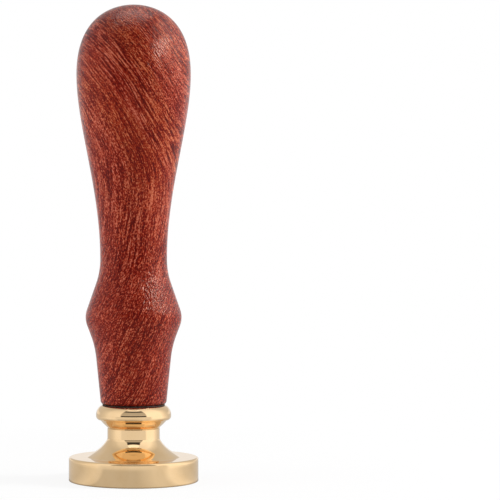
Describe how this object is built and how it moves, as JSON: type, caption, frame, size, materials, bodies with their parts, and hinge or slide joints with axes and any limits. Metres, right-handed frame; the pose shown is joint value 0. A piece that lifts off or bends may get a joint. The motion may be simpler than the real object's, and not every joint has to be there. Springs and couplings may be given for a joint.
{
  "type": "wax seal stamp",
  "caption": "Hand stamp with a turned wooden handle, waisted and rounded at the top, screwed to a flared brass head whose engraved round face presses a design into soft sealing wax.",
  "frame": {"origin": "centre of the engraved face, on which the stamp stands", "axes": "+Z along the turning axis, from the engraved face up to the rounded top of the handle; +X through the axis of one engraved petal"},
  "size_m": [0.025, 0.025, 0.0917],
  "materials": {
    "polished_brass": "polished, pale gold",
    "washer_leather": "matt, dark brown",
    "plated_steel": "bright zinc plate",
    "red_hardwood": "satin lacquer over red-brown streaked grain"
  },
  "bodies": {
    "head": {"stamp_head": "polished_brass"},
    "washer": {"seat_washer": "washer_leather"},
    "grip": {"handle": "red_hardwood", "stud": "plated_steel"}
  },
  "joints": [
    {"name": "handle_turn", "type": "hinge", "parent": "head", "child": "washer", "pos_m": [0, 0, 0.0145], "axis": [0, 0, 1], "range_deg": [0, 2520]},
    {"name": "handle_lift", "type": "slide", "parent": "washer", "child": "grip", "axis": [0, 0, 1], "range_m": [0, 0.007]}
  ],
  "couplings": [
    {"joint": "handle_lift", "follows": "handle_turn", "m_per_rad": 0.00015915}
  ]
}
